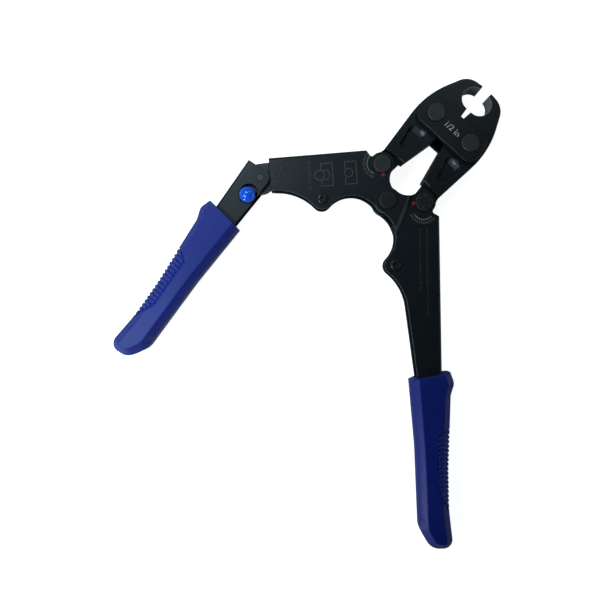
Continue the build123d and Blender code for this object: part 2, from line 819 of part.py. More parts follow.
def grip_form(inset):
    """Body of a grip with flat facets along its edges, drawn in by an inset."""
    plan = grip_plan()
    if inset:
        plan = offset(plan, -inset)
    half = grip_half - inset
    slant = sqrt(facet_width**2 + facet_depth**2)
    share = 1 - inset * (facet_width + facet_depth - slant) / (facet_width * facet_depth)
    mouth = Vector(grip_mouth + inset + mouth_slant / 2, outer_edge + (mouth_outer - mouth_inner) / 2)
    body = extrude(plan, half, both=True)
    for end in (0, -1):
        flat = body.faces().filter_by(Axis.Z).sort_by(Axis.Z)[end]
        edges = [
            edge
            for edge in flat.edges()
            if abs(edge.center().X - mouth.X) + abs(edge.center().Y - mouth.Y) > facet_width
        ]
        body = chamfer(edges, share * facet_width, share * facet_depth, reference=flat)
    return body


def grip_grooves():
    """Plan of the ribbed panel's grooves and its border."""
    start = grip_mouth + panel_start
    end = grip_end - panel_back
    outer = outer_edge + 2 * flare_height
    inner = outer_edge - panel_width
    rim = outer_edge + waist_outer - panel_rim
    panel = make_face(
        Polyline(
            (start, outer),
            (start, rim),
            (start + panel_lead, inner),
            (end - panel_tail, inner),
            (end, rim),
            (end, outer),
            close=True,
        )
    )
    inside = offset(panel, -panel_border, kind=Kind.INTERSECTION)
    pitch = (end - start - 2 * rib_margin) / rib_count
    grooves = panel - inside
    for i in range(rib_count):
        station = start + rib_margin + pitch * (i + 0.5)
        slit = Pos(station, outer_edge) * Rectangle(rib_groove, 4 * flare_height)
        grooves += slit & inside
    return grooves


def grip(mark, taper):
    """Moulded grip with a ribbed panel and a cavity for a tang."""
    cut = extrude(grip_grooves(), 2 * grip_half, both=True) - grip_form(rib_depth)
    lead = grip_mouth - 2 * flare_at
    mouth = Vector(lead, mark.Y + (lead - mark.X) * taper)
    tang = make_face(Polyline(Vector(lead, outer_edge), *handle_tail(mark, taper), mouth, close=True))
    cavity = extrude(offset(tang, face_gap, kind=Kind.INTERSECTION), ear_half + face_gap, both=True)
    bends = [edge for edge in cavity.edges().filter_by(Axis.X) if edge.center().Y > outer_edge]
    cavity = fillet(bends, bend_radius)
    return grip_form(0) - cut - cavity


nodes = {
    "right_lever": right(right_lever()),
    "left_lever": left(left_lever()),
    "right_jaw": opened(right_jaw()),
    "left_jaw": mirror(opened(mirror(left_jaw(), about=Plane.YZ)), about=Plane.YZ),
    "front_strap": head(strap(strap_inner, strap_outer, front_strap_low)),
    "rear_strap": head(strap(-strap_outer, -strap_inner, rear_strap_low)),
    "left_strap_pin": head(strap_pin(-1)),
    "right_strap_pin": head(strap_pin(1)),
    "strap_pin_clips": head(strap_pin_clips()),
    "centre_pivot_pin": right(centre_pivot_pin()),
    "centre_pivot_bush": left(centre_pivot_bush()),
    "centre_pivot_clip": right(retaining_ring(pivot, centre_pin_radius, -raised_half)),
    "hinge_block": left(hinge_block()),
    "block_rivets": left(block_rivets()),
    "rear_arm": folded(rear_arm()),
    "fold_hinge_pin": folded(fold_hinge_pin()),
    "lock_button": folded(lock_button()),
    "lock_plunger": folded(lock_plunger()),
    "lock_clip": folded(lock_clip()),
    "lock_spring": folded(lock_spring()),
    "right_grip": right(grip(handle_mark, handle_taper)),
    "left_grip": folded(grip(arm_mark, arm_taper)),
}
for side, place in (("right", right), ("left", left)):
    nodes[side + "_dial_bolt"] = place(dial_bolt())
    nodes[side + "_dial_washer"] = place(dial_washer())
    nodes[side + "_dial_nut"] = place(dial_nut())
    nodes[side + "_stop_screw"] = place(stop_screw())
    nodes[side + "_stop_sleeve"] = place(stop_sleeve())
    nodes[side + "_stop_nut"] = place(stop_nut())

for name, shape in nodes.items():
    export_step(shape, f"parts/{name}.step")
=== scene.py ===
# %% [markdown]
# # A crimping plier in blackened steel
# The plier squeezes copper rings onto plastic pipe. Two channel-shaped levers work two forged jaws, and the
# left handle folds. Its solids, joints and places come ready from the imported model. This lesson gives it
# finishes, the small printed and punched marks, closed grips, a smooth lock spring and the light of a plain
# studio.

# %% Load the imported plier
import json
import math
import bmesh
import bpy
from mathutils import Matrix, Vector
from mathutils.bvhtree import BVHTree


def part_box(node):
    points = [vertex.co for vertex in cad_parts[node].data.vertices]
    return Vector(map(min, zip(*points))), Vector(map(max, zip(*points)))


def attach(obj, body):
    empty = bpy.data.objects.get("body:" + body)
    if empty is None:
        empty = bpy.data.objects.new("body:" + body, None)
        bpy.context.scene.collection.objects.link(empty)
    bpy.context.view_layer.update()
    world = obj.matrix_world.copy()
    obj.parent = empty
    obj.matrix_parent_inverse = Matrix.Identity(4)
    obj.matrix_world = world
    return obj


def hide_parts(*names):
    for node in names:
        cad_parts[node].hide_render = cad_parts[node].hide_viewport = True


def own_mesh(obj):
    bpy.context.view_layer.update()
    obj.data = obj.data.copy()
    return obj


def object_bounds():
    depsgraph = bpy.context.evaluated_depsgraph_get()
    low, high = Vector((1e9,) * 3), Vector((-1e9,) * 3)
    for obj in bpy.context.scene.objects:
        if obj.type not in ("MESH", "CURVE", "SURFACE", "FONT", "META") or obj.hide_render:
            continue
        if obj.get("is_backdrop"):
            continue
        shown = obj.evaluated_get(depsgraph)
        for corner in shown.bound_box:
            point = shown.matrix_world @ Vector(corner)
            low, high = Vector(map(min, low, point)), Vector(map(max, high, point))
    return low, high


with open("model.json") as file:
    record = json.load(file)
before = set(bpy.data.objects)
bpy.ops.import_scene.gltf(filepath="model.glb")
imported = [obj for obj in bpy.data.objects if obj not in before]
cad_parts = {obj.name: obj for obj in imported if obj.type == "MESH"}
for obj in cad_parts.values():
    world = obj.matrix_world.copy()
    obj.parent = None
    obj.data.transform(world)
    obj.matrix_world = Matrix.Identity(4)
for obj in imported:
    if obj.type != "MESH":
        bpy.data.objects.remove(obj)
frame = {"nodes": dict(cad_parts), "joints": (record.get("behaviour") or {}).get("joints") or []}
cad_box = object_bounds()
nodes = frame["nodes"]
mm = 0.001
print("plier of", len(nodes), "pieces, millimetres:", [round(v / mm, 1) for v in cad_box[1] - cad_box[0]])

# %% [markdown]
# ## The camera
# The photograph looks straight down, from about half a metre, so the near faces of the plier lean outward
# from the middle of the picture. A camera at the same height gives the same lean. The tool's own axis
# points up and to the right, which is a turn of the camera about the vertical.

# %% Camera above the plier
camera_turn = math.radians(42.2)
camera_data = bpy.data.cameras.new("camera")
camera_data.sensor_width = 36.0
camera_data.sensor_fit = "HORIZONTAL"
camera_data.lens = 36.54
camera_data.clip_start = 0.01
camera = bpy.data.objects.new("camera", camera_data)
camera.location = (1.71 * mm, -100.21 * mm, 484.1 * mm)
camera.rotation_euler = (0, 0, camera_turn)
bpy.context.collection.objects.link(camera)
bpy.context.scene.camera = camera
picture_right = Vector((math.cos(camera_turn), math.sin(camera_turn), 0))
picture_up = Vector((-math.sin(camera_turn), math.cos(camera_turn), 0))
slope = camera_data.sensor_width / camera_data.lens
print("picture spans", round(camera.location.z * slope / mm), "mm of the floor")

# %% [markdown]
# ## The studio
# A dark satin tool lies on white. Two soft lamps hang low over the left side of the picture. They leave a
# haze on the left grip and the left lever and let the right side stay deep. A lamp above the upper right
# corner hazes the top of the head and puts a shadow below its strap and pins. Two weak lamps help: one from
# the right lifts the rolled edges on that side, one from the lower left draws the thin bright rims on the
# pin heads.

# %% Lamps
def over_floor(right, up, height):
    """Place above the floor, counted from the camera's axis along the sides of the picture."""
    return Vector((camera.location.x, camera.location.y, height)) + picture_right * right + picture_up * up


def soft_lamp(name, place, target, size, power, tint):
    """Area lamp that faces a target, with its first side level."""
    data = bpy.data.lights.new(name, "AREA")
    data.shape = "RECTANGLE"
    data.size, data.size_y = size
    data.energy = power
    data.color = tint
    lamp = bpy.data.objects.new(name, data)
    lamp.location = place
    lamp.rotation_euler = (target - place).to_track_quat("-Z", "Y").to_euler()
    lamp.visible_camera = False
    bpy.context.collection.objects.link(lamp)
    return lamp


head_spot = over_floor(right=0.10, up=0.10, height=0.02)
cool = (0.84, 1.0, 1.06)
blue = (0.76, 1.0, 1.10)
plain = (1.0, 1.0, 1.0)
down = Vector((0, 0, -0.1))
over_grip = over_floor(right=-0.22, up=-0.044, height=0.28)
over_lever = over_floor(right=-0.11, up=0.207, height=0.28)
upper_right = over_floor(right=0.21, up=0.38, height=0.40)
far_right = over_floor(right=0.60, up=0.03, height=0.09)
lower_left = over_floor(right=-0.45, up=-0.45, height=0.15)
lamps = (
    soft_lamp("grip_lamp", over_grip, over_grip + down, size=(0.14, 0.14), power=0.78, tint=blue),
    soft_lamp("lever_lamp", over_lever, over_lever + down, size=(0.08, 0.08), power=0.52, tint=blue),
    soft_lamp("top_lamp", upper_right, head_spot, size=(0.14, 0.14), power=0.22, tint=cool),
    soft_lamp("right_lamp", far_right, head_spot, size=(0.40, 0.12), power=0.4, tint=blue),
    soft_lamp("rim_lamp", lower_left, head_spot, size=(0.20, 0.10), power=1.6, tint=plain),
)
print("lamps:", [(lamp.name, round(lamp.data.energy, 2)) for lamp in lamps])

# %% [markdown]
# ## Room and floor
# The room is dark overhead, so level faces stay deep, and bright along the horizon, where upright walls and
# rolled edges find something to mirror. The white of the picture is the floor itself and the wall far
# behind it. The floor's paint is pale and evenly lit, and a glow that the camera sees, and mirrors a little
# of, lifts it to clean white, while a faint soft shadow under the plier stays.

# %% Room
def add_node(tree, kind, values=(), **settings):
    """Shader node with some sockets set or linked, each by name or number."""
    made = tree.nodes.new("ShaderNode" + kind)
    for key, value in settings.items():
        setattr(made, key, value)
    for socket, value in dict(values).items():
        if isinstance(value, bpy.types.NodeSocket):
            tree.links.new(value, made.inputs[socket])
        else:
            made.inputs[socket].default_value = value
    return made


camera_glow = 0.92
mirror_glow = 0.03
horizon_glow = 0.90
ceiling_glow = 0.026
# Each tone is the rise of a ray and the glow that it finds there.
room_tones = ((0.04, horizon_glow), (0.16, 0.30 * horizon_glow), (0.50, ceiling_glow))
room_tint = (1.0, 1.03, 1.06)


def room_light():
    """Bright along the horizon, dark overhead, and white where the camera looks past the floor."""
    world = bpy.data.worlds.new("room")
    bpy.context.scene.world = world
    world.use_nodes = True
    tree = world.node_tree
    direction = add_node(tree, "TexCoord").outputs["Generated"]
    rise = add_node(tree, "SeparateXYZ", {0: direction}).outputs["Z"]
    ramp = add_node(tree, "ValToRGB", {0: rise})
    ramp.color_ramp.elements.new(0.5)
    for stop, (level, glow) in zip(ramp.color_ramp.elements, room_tones):
        stop.position = level
        stop.color = (*(glow * tone for tone in room_tint), 1.0)
    seen = add_node(tree, "LightPath").outputs["Is Camera Ray"]
    backdrop = (camera_glow, camera_glow, camera_glow, 1)
    white = add_node(tree, "Mix", {0: seen, 6: ramp.outputs[0], 7: backdrop}, data_type="RGBA").outputs[2]
    tree.links.new(white, tree.nodes["Background"].inputs["Color"])
    return world


room = room_light()
bpy.context.scene.view_settings.view_transform = "Standard"
print("room:", room.name)

# %% Floor
def new_material(name):
    """Empty material with its tree and its shader."""
    material = bpy.data.materials.new(name)
    material.use_nodes = True
    tree = material.node_tree
    return material, tree, tree.nodes["Principled BSDF"]


paint_dark = (0.68, 0.68, 0.68, 1)
paint_light = (0.70, 0.70, 0.70, 1)


def floor_paint():
    """Pale paint with a faint speckle, which glows for the camera and for mirrors."""
    material, tree, shader = new_material("floor_paint")
    shader.inputs["Roughness"].default_value = 0.8
    shader.inputs["Specular IOR Level"].default_value = 0.1
    place = add_node(tree, "TexCoord")
    dust = add_node(tree, "TexNoise", {"Vector": place.outputs["Object"], "Scale": 40.0})
    tint = add_node(tree, "Mix", {0: dust.outputs["Fac"], 6: paint_dark, 7: paint_light}, data_type="RGBA")
    tree.links.new(tint.outputs[2], shader.inputs["Base Color"])
    path = add_node(tree, "LightPath")
    glossy, clear = (path.outputs["Is " + kind + " Ray"] for kind in ("Glossy", "Transmission"))
    mirrored = add_node(tree, "Math", {0: glossy, 1: clear}, operation="MAXIMUM")
    mirrored = add_node(tree, "Math", {0: mirrored.outputs[0], 1: mirror_glow}, operation="MULTIPLY")
    seen = add_node(tree, "Math", {0: path.outputs["Is Camera Ray"], 1: camera_glow}, operation="MULTIPLY")
    glow = add_node(tree, "Math", {0: seen.outputs[0], 1: mirrored.outputs[0]}, operation="MAXIMUM")
    shader.inputs["Emission Color"].default_value = (1, 1, 1, 1)
    tree.links.new(glow.outputs[0], shader.inputs["Emission Strength"])
    return material


def new_piece(name, form, finish):
    """Object in the scene made of a finished form, which is used up."""
    mesh = bpy.data.meshes.new(name)
    form.to_mesh(mesh)
    form.free()
    mesh.materials.append(finish)
    piece = bpy.data.objects.new(name, mesh)
    bpy.context.collection.objects.link(piece)
    return piece


floor_reach = 4.0
floor_drop = Matrix.Translation((0, 0, -0.1 * mm))
sheet_form = bmesh.new()
bmesh.ops.create_grid(sheet_form, x_segments=8, y_segments=8, size=floor_reach, matrix=floor_drop)
floor = new_piece("floor", sheet_form, floor_paint())
floor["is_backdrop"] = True
print("floor of", 2 * floor_reach, "metres")

# %% [markdown]
# ## Blackened steel
# The levers, jaws and straps are steel with a thin black oxide skin. It is nearly black, satin rather than
# glossy, slightly mottled, and it thins to grey along sharp edges. The edge is found with the Bevel node:
# where the softened normal leaves the true one, there is an edge. A noise breaks the thin line into
# patches, a stretched noise leaves faint rubbing marks along the sheet, the corners, where little of the
# sky is seen, are darkened by a painted shade and made rougher, and a fine bump gives the skin its grain.

# %% Helpers for finishes
def between(tree, factor, low, high):
    """Colour from low to high by a factor."""
    pick = [value if isinstance(value, bpy.types.NodeSocket) else (*value, 1.0) for value in (low, high)]
    return add_node(tree, "Mix", {0: factor, 6: pick[0], 7: pick[1]}, data_type="RGBA").outputs[2]


def spread(tree, value, low_in, high_in, low_out, high_out):
    """Value moved from one range to another and held inside it."""
    limits = {"From Min": low_in, "From Max": high_in, "To Min": low_out, "To Max": high_out}
    return add_node(tree, "MapRange", {"Value": value, **limits}).outputs[0]


def speckle(tree, place, size, detail=3.0):
    """Noise whose blotches are about one size, in metres."""
    return add_node(tree, "TexNoise", {"Vector": place, "Scale": 1 / size, "Detail": detail}).outputs["Fac"]


def product(tree, first, second):
    """Two values multiplied."""
    return add_node(tree, "Math", {0: first, 1: second}, operation="MULTIPLY").outputs[0]


def total(tree, first, second):
    """Two values added."""
    return add_node(tree, "Math", {0: first, 1: second}, operation="ADD").outputs[0]


edge_start, edge_full = 0.998, 0.90  # how far the softened normal agrees with the true one


def edge_rub(tree, place, soft, patch):
    """How far the skin is rubbed thin: along edges, in patches of about one size."""
    face = add_node(tree, "NewGeometry").outputs["Normal"]
    agree = add_node(tree, "VectorMath", {0: soft, 1: face}, operation="DOT_PRODUCT").outputs["Value"]
    edge = spread(tree, agree, edge_start, edge_full, 0.0, 1.0)
    return product(tree, edge, spread(tree, speckle(tree, place, patch), 0.35, 0.65, 0.15, 1.0))


mottle_size = 14 * mm
steel_patch = 3 * mm
corner_reach = 2 * mm
corner_shade_share = 0.12  # share of the dark tone that the painted corner shade leaves
streak_turn = (0, 0, 0.8)
streak_scale = (60, 900, 60)


def steel_skin(name, dark, light, bare, roughness, shine, grain, grain_depth, edge=0.30 * mm):
    """Oxide skin on steel, between two dark tones, with painted shade in its corners, thinned to a bare tone
    along its edges.
    """
    material, tree, shader = new_material(name)
    place = add_node(tree, "TexCoord").outputs["Object"]
    soft = add_node(tree, "Bevel", {"Radius": edge}, samples=6).outputs["Normal"]
    mottle = spread(tree, speckle(tree, place, mottle_size, 5.0), 0.35, 0.65, 0.0, 1.0)
    fine = speckle(tree, place, grain, 4.0)
    streaked = add_node(tree, "Mapping", {"Vector": place, "Rotation": streak_turn, "Scale": streak_scale})
    streak = speckle(tree, streaked.outputs[0], 1.0, 2.0)
    skin = between(tree, mottle, dark, light)
    # Painted shade: ambient occlusion darkens the base colour in the corners, and the same mask also makes
    # them rougher.
    open_sky = add_node(tree, "AmbientOcclusion", {"Distance": corner_reach}, samples=8).outputs["AO"]
    dust = spread(tree, open_sky, 0.45, 0.88, 1.0, 0.0)
    skin = between(tree, dust, skin, [tone * corner_shade_share for tone in dark])
    skin = between(tree, spread(tree, streak, 0.62, 0.80, 0.0, 0.35), skin, light)
    rub = edge_rub(tree, place, soft, steel_patch)
    tree.links.new(between(tree, rub, skin, bare), shader.inputs["Base Color"])
    gloss = spread(tree, fine, 0.3, 0.7, roughness - 0.05, roughness + 0.06)
    tree.links.new(total(tree, gloss, product(tree, dust, 0.4)), shader.inputs["Roughness"])
    bump = add_node(tree, "Bump", {"Height": fine, "Normal": soft, "Distance": grain_depth, "Strength": 0.5})
    tree.links.new(bump.outputs["Normal"], shader.inputs["Normal"])
    shader.inputs["Specular IOR Level"].default_value = shine
    return material


print("finish helpers ready")

# %% [markdown]
# The same skin serves all the steel with other tones. The rolled levers are the deepest black and the strap
# is close to them. The pins and dials have turned heads that wear thinner and greyer, the small hardware is
# glossier, and the spring is bright wire. The pin grey comes as a lighter copy, partly painted light, and a
# darker copy for the right dial and the centre pin, which is a painted shade.

# %% Levers, straps, pins and small hardware
oxide_dark = (0.0032, 0.0053, 0.0076)
oxide_light = (0.0040, 0.0066, 0.0094)
oxide_bare = (0.040, 0.042, 0.043)
lever_black = steel_skin("lever_black", dark=(0.0026, 0.0046, 0.0070), light=(0.0034, 0.0058, 0.0084),
                         bare=(0.037, 0.043, 0.047), roughness=0.48, shine=0.29,
                         grain=0.35 * mm, grain_depth=0.010 * mm, edge=0.45 * mm)
strap_black = steel_skin("strap_black", oxide_dark, oxide_light, oxide_bare, roughness=0.40, shine=0.30,
                         grain=0.30 * mm, grain_depth=0.010 * mm)
# Turned pin heads, lighter than the darker copy below: partly greyer metal, partly painted light.
pin_grey_painted_light = steel_skin("pin_grey_painted_light", dark=(0.0220, 0.0230, 0.0240), light=(0.0275, 0.0285, 0.0295),
                      bare=(0.090, 0.088, 0.086), roughness=0.42, shine=0.30,
                      grain=0.45 * mm, grain_depth=0.018 * mm, edge=0.6 * mm)
# Painted shade: a darker copy of the pin grey, for the right dial and the centre pin.
pin_grey_painted_shade = steel_skin("pin_grey_painted_shade", dark=(0.0075, 0.0080, 0.0090), light=(0.0100, 0.0108, 0.0120),
                       bare=(0.080, 0.079, 0.078), roughness=0.48, shine=0.30,
                       grain=0.45 * mm, grain_depth=0.018 * mm, edge=0.6 * mm)
hardware_black = steel_skin("hardware_black", dark=(0.0060, 0.0075, 0.0095), light=(0.0090, 0.0110, 0.0135),
                            bare=(0.10, 0.10, 0.11), roughness=0.28, shine=0.40,
                            grain=0.40 * mm, grain_depth=0.012 * mm)
spring_bright = steel_skin("spring_bright", dark=(0.20, 0.20, 0.20), light=(0.30, 0.30, 0.31),
                           bare=(0.45, 0.45, 0.45), roughness=0.28, shine=0.5,
                           grain=0.30 * mm, grain_depth=0.005 * mm)
print("six steel finishes")

# %% [markdown]
# ## Points of the picture on the solids
# Some marks are placed where the photograph shows them. A ray from the camera through that place of the
# picture is followed down to the solid that carries the mark, so the mark lies on real metal and not just
# in front of it.

# %% Rays from the camera
picture_size = 600


def ray_through(spot):
    """Ray from the camera through a column and a row of the picture, one metre deep."""
    column, row = spot
    across = (column / picture_size - 0.5) * slope
    rise = (0.5 - row / picture_size) * slope
    return picture_right * across + picture_up * rise + Vector((0, 0, -1))


def seen_on(name, spot):
    """Point of a solid that the camera sees at a spot of the picture."""
    surface = BVHTree.FromObject(nodes[name], bpy.context.evaluated_depsgraph_get())
    return surface.ray_cast(camera.location, ray_through(spot).normalized())[0]


def seen_at(height, spot):
    """Point at a height that the camera sees at a spot of the picture."""
    return camera.location + ray_through(spot) * (camera.location.z - height)


strap_seen = (452, 129)
print("strap middle stands", round(seen_on("front_strap", strap_seen).z / mm, 2), "mm high")

# %% [markdown]
# ## Forged jaws
# The jaws are forged, so their skin is coarser than the rolled sheet of the levers. Their flat faces are
# ground and wear a thin skin, while their upright walls are darkened to near black by a painted shade. The
# half round of each die is cut after blackening and shows greyer metal with fine turning marks. The pocket
# in each jaw ends in a rough slope under the strap, which carries a patchy, pale bluish painted glint.
# Both jaws need their own finish, because both places are found by their distance from points on that jaw.

# %% Jaw finish
half_die = Vector((3.04, 101.18, 0)) * mm
die_radius = 8.95 * mm
turning_pitch = 0.5 * mm
turned_dark = (0.14, 0.14, 0.14)
turned_light = (0.21, 0.21, 0.207)
painted_wall_shade = (0.0006, 0.0010, 0.0018)
spot_radius = 3.2 * mm
glint_patch_size = 1.4 * mm
painted_glint = (0.16, 0.16, 0.22)


def distance(tree, place, point, scale=(1, 1, 1)):
    """How far the surface is from a point, along the axes that scale keeps."""
    away = add_node(tree, "VectorMath", {0: place, 1: tuple(-point)}, operation="ADD").outputs[0]
    away = add_node(tree, "VectorMath", {0: away, 1: scale}, operation="MULTIPLY").outputs[0]
    return add_node(tree, "VectorMath", {0: away}, operation="LENGTH").outputs["Value"]


def jaw_skin(name, centre, spot):
    """Forged black skin with painted shade on its upright walls, a machined half round about a centre and a
    painted glint at a spot.
    """
    material = steel_skin(name, oxide_dark, oxide_light, oxide_bare, roughness=0.40, shine=0.30,
                          grain=0.40 * mm, grain_depth=0.012 * mm)
    tree = material.node_tree
    shader = tree.nodes["Principled BSDF"]
    place = add_node(tree, "TexCoord").outputs["Object"]
    skin = shader.inputs["Base Color"].links[0].from_socket
    # Painted shade: faces that stand upright, found by their normal, are darkened to near black.
    face = add_node(tree, "NewGeometry").outputs["Normal"]
    upward = add_node(tree, "SeparateXYZ", {0: face}).outputs["Z"]
    level = add_node(tree, "Math", {0: upward}, operation="ABSOLUTE").outputs[0]
    skin = between(tree, spread(tree, level, 0.3, 0.8, 0.0, 1.0), painted_wall_shade, skin)
    reach = distance(tree, place, centre, (1, 1, 0))
    cut = spread(tree, reach, die_radius + 0.15 * mm, die_radius + 0.40 * mm, 1.0, 0.0)
    height = add_node(tree, "SeparateXYZ", {0: place}).outputs["Z"]
    phase = product(tree, height, 2 * math.pi / turning_pitch)
    rings = add_node(tree, "Math", {0: phase}, operation="SINE").outputs[0]
    turned = between(tree, spread(tree, rings, -1, 1, 0, 1), turned_dark, turned_light)
    # Painted glint: a patchy pale bluish tone near the spot on the pocket's slope.
    near = spread(tree, distance(tree, place, spot), 0.35 * spot_radius, spot_radius, 1.0, 0.0)
    glint_patches = spread(tree, speckle(tree, place, glint_patch_size, 4.0), 0.42, 0.58, 0.0, 1.0)
    skin = between(tree, product(tree, near, glint_patches), skin, painted_glint)
    tree.links.new(between(tree, cut, skin, turned), shader.inputs["Base Color"])
    return material


left_slope_seen = (423, 133)
right_slope_seen = (455, 163)
left_glint_spot = seen_on("left_jaw", left_slope_seen)
right_glint_spot = seen_on("right_jaw", right_slope_seen)
right_jaw_black = jaw_skin("right_jaw_black", half_die, right_glint_spot)
left_jaw_black = jaw_skin("left_jaw_black", half_die * Vector((-1, 1, 1)), left_glint_spot)
print("painted glint spots stand", round(left_glint_spot.z / mm, 1), "and", round(right_glint_spot.z / mm, 1), "mm high")

# %% [markdown]
# ## Grip and button plastic
# The grips are moulded in royal blue plastic with a fine satin texture from the mould, and a parting line
# runs round them at mid height, where the two mould halves met. Between the ribs, where little of the room
# is seen, the plastic is rougher and is painted a brighter blue, a painted light. The button is a harder,
# glossy blue.

# %% Plastic finishes
grip_low, grip_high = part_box("right_grip")
mid_height = (grip_low.z + grip_high.z) / 2
deep_blue = (0.0026, 0.0105, 0.148)
clear_blue = (0.0034, 0.0125, 0.172)
painted_groove_light = (0.0055, 0.0230, 0.340)
rubbed_blue = (0.015, 0.030, 0.21)
grip_edge = 1.6 * mm
grip_cloud = 25 * mm
grip_patch = 6 * mm
groove_reach = 3 * mm
seam_depth = 0.12 * mm
mould_grain = 0.5 * mm
mould_depth = 0.015 * mm


def grip_blue():
    """Satin moulded plastic with mould texture, a parting line, slightly paler rubbed edges and grooves
    painted brighter, a painted light.
    """
    material, tree, shader = new_material("grip_blue")
    place = add_node(tree, "TexCoord").outputs["Object"]
    soft = add_node(tree, "Bevel", {"Radius": grip_edge}, samples=8).outputs["Normal"]
    cloud = spread(tree, speckle(tree, place, grip_cloud, 4.0), 0.35, 0.65, 0.0, 1.0)
    body = between(tree, cloud, deep_blue, clear_blue)
    # Painted light: where ambient occlusion finds the grooves between the ribs, the blue is painted brighter,
    # and the roughness rises there.
    open_sky = add_node(tree, "AmbientOcclusion", {"Distance": groove_reach}, samples=8).outputs["AO"]
    groove = spread(tree, open_sky, 0.45, 0.90, 1.0, 0.0)
    body = between(tree, groove, body, painted_groove_light)
    rub = product(tree, edge_rub(tree, place, soft, grip_patch), 0.4)
    tree.links.new(between(tree, rub, body, rubbed_blue), shader.inputs["Base Color"])
    fine = speckle(tree, place, mould_grain, 3.0)
    satin = spread(tree, fine, 0.3, 0.7, 0.43, 0.55)
    tree.links.new(total(tree, satin, product(tree, groove, 0.45)), shader.inputs["Roughness"])
    height = add_node(tree, "SeparateXYZ", {0: place}).outputs["Z"]
    off = add_node(tree, "Math", {0: height, 1: mid_height}, operation="SUBTRACT").outputs[0]
    off = add_node(tree, "Math", {0: off}, operation="ABSOLUTE").outputs[0]
    seam = spread(tree, off, 0.10 * mm, 0.25 * mm, 1.0, 0.0)
    parted = add_node(tree, "Bump", {"Height": seam, "Normal": soft, "Distance": seam_depth, "Strength": 0.8})
    grain = add_node(tree, "Bump", {"Height": fine, "Normal": parted.outputs["Normal"],
                                    "Distance": mould_depth, "Strength": 0.5})
    tree.links.new(grain.outputs["Normal"], shader.inputs["Normal"])
    shader.inputs["Specular IOR Level"].default_value = 0.25
    return material


button_dark = (0.002, 0.068, 0.52)
button_light = (0.003, 0.080, 0.60)
button_edge = 1.2 * mm
button_cloud = 5 * mm
scuff_size = 0.8 * mm


def button_blue():
    """Glossy hard plastic with faint scuffs."""
    material, tree, shader = new_material("button_blue")
    place = add_node(tree, "TexCoord").outputs["Object"]
    cloud = speckle(tree, place, button_cloud)
    tree.links.new(between(tree, cloud, button_dark, button_light), shader.inputs["Base Color"])
    scuff = spread(tree, speckle(tree, place, scuff_size, 6.0), 0.50, 0.80, 0.17, 0.25)
    tree.links.new(scuff, shader.inputs["Roughness"])
    soft = add_node(tree, "Bevel", {"Radius": button_edge}, samples=8).outputs["Normal"]
    ripple = add_node(tree, "Bump", {"Height": cloud, "Normal": soft,
                                     "Distance": 0.004 * mm, "Strength": 0.2})
    tree.links.new(ripple.outputs["Normal"], shader.inputs["Normal"])
    return material


grip_plastic = grip_blue()
button_plastic = button_blue()
print("plastics:", grip_plastic.name, button_plastic.name)

# %% [markdown]
# ## Dressing the solids
# Each solid of the plier keeps its mesh and only changes the finish in its slot. Slots are named after the
# material that the record gives the solid.

# %% Give every solid its finish
finish_of_slot = {
    "lever_steel": lever_black,
    "strap_steel": strap_black,
    "jaw_steel": right_jaw_black,
    "pin_steel": pin_grey_painted_light,
    "hardware_steel": hardware_black,
    "spring_steel": spring_bright,
    "grip_plastic": grip_plastic,
    "button_plastic": button_plastic,
}
for solid in nodes.values():
    solid.material_slots[0].material = finish_of_slot[solid.material_slots[0].material.name.split(".")[0]]
nodes["left_jaw"].material_slots[0].material = left_jaw_black
# The right dial and the centre pin take the darker copy of the pin grey, a painted shade.
for name in ("right_dial_bolt", "centre_pivot_pin"):
    nodes[name].material_slots[0].material = pin_grey_painted_shade
nodes["block_rivets"].material_slots[0].material = lever_black
print(len(nodes), "solids dressed with", len(finish_of_slot) + 2, "finishes")

# %% [markdown]
# ## Printing on the steel
# The levers, the dials and the strap carry printed marks. All are pad printed, so each is a flat form with
# the thickness of a coat of ink. It is drawn about its own middle in millimetres, then thickened, turned
# and laid on the face that the ray found. The inks are dry and thin in places, and some are worn almost to
# the steel.

# %% Inks
ink_patch = 0.9 * mm
tooth_size = 0.12 * mm
tooth_depth = 0.006 * mm


def print_ink(name, thin, full):
    """Dry printing ink, thin in places, with a fine tooth."""
    material, tree, shader = new_material(name)
    place = add_node(tree, "TexCoord").outputs["Object"]
    cover = spread(tree, speckle(tree, place, ink_patch, 5.0), 0.38, 0.58, 0.0, 1.0)
    tree.links.new(between(tree, cover, thin, full), shader.inputs["Base Color"])
    tooth = speckle(tree, place, tooth_size)
    tree.links.new(spread(tree, tooth, 0.3, 0.7, 0.55, 0.75), shader.inputs["Roughness"])
    bump = add_node(tree, "Bump", {"Height": tooth, "Distance": tooth_depth, "Strength": 0.5})
    tree.links.new(bump.outputs["Normal"], shader.inputs["Normal"])
    shader.inputs["Specular IOR Level"].default_value = 0.2
    return material


gold_ink = print_ink("gold_ink", thin=(0.105, 0.092, 0.072), full=(0.20, 0.175, 0.14))
size_ink = print_ink("size_ink", thin=(0.24, 0.205, 0.155), full=(0.52, 0.44, 0.35))
faint_ink = print_ink("faint_ink", thin=(0.046, 0.045, 0.043), full=(0.082, 0.077, 0.072))
red_ink = print_ink("red_ink", thin=(0.22, 0.014, 0.016), full=(0.34, 0.020, 0.022))
print("four inks")

# %% Helpers for prints
ink_height = 0.05
band_step = 8  # degrees
least_steps = 6


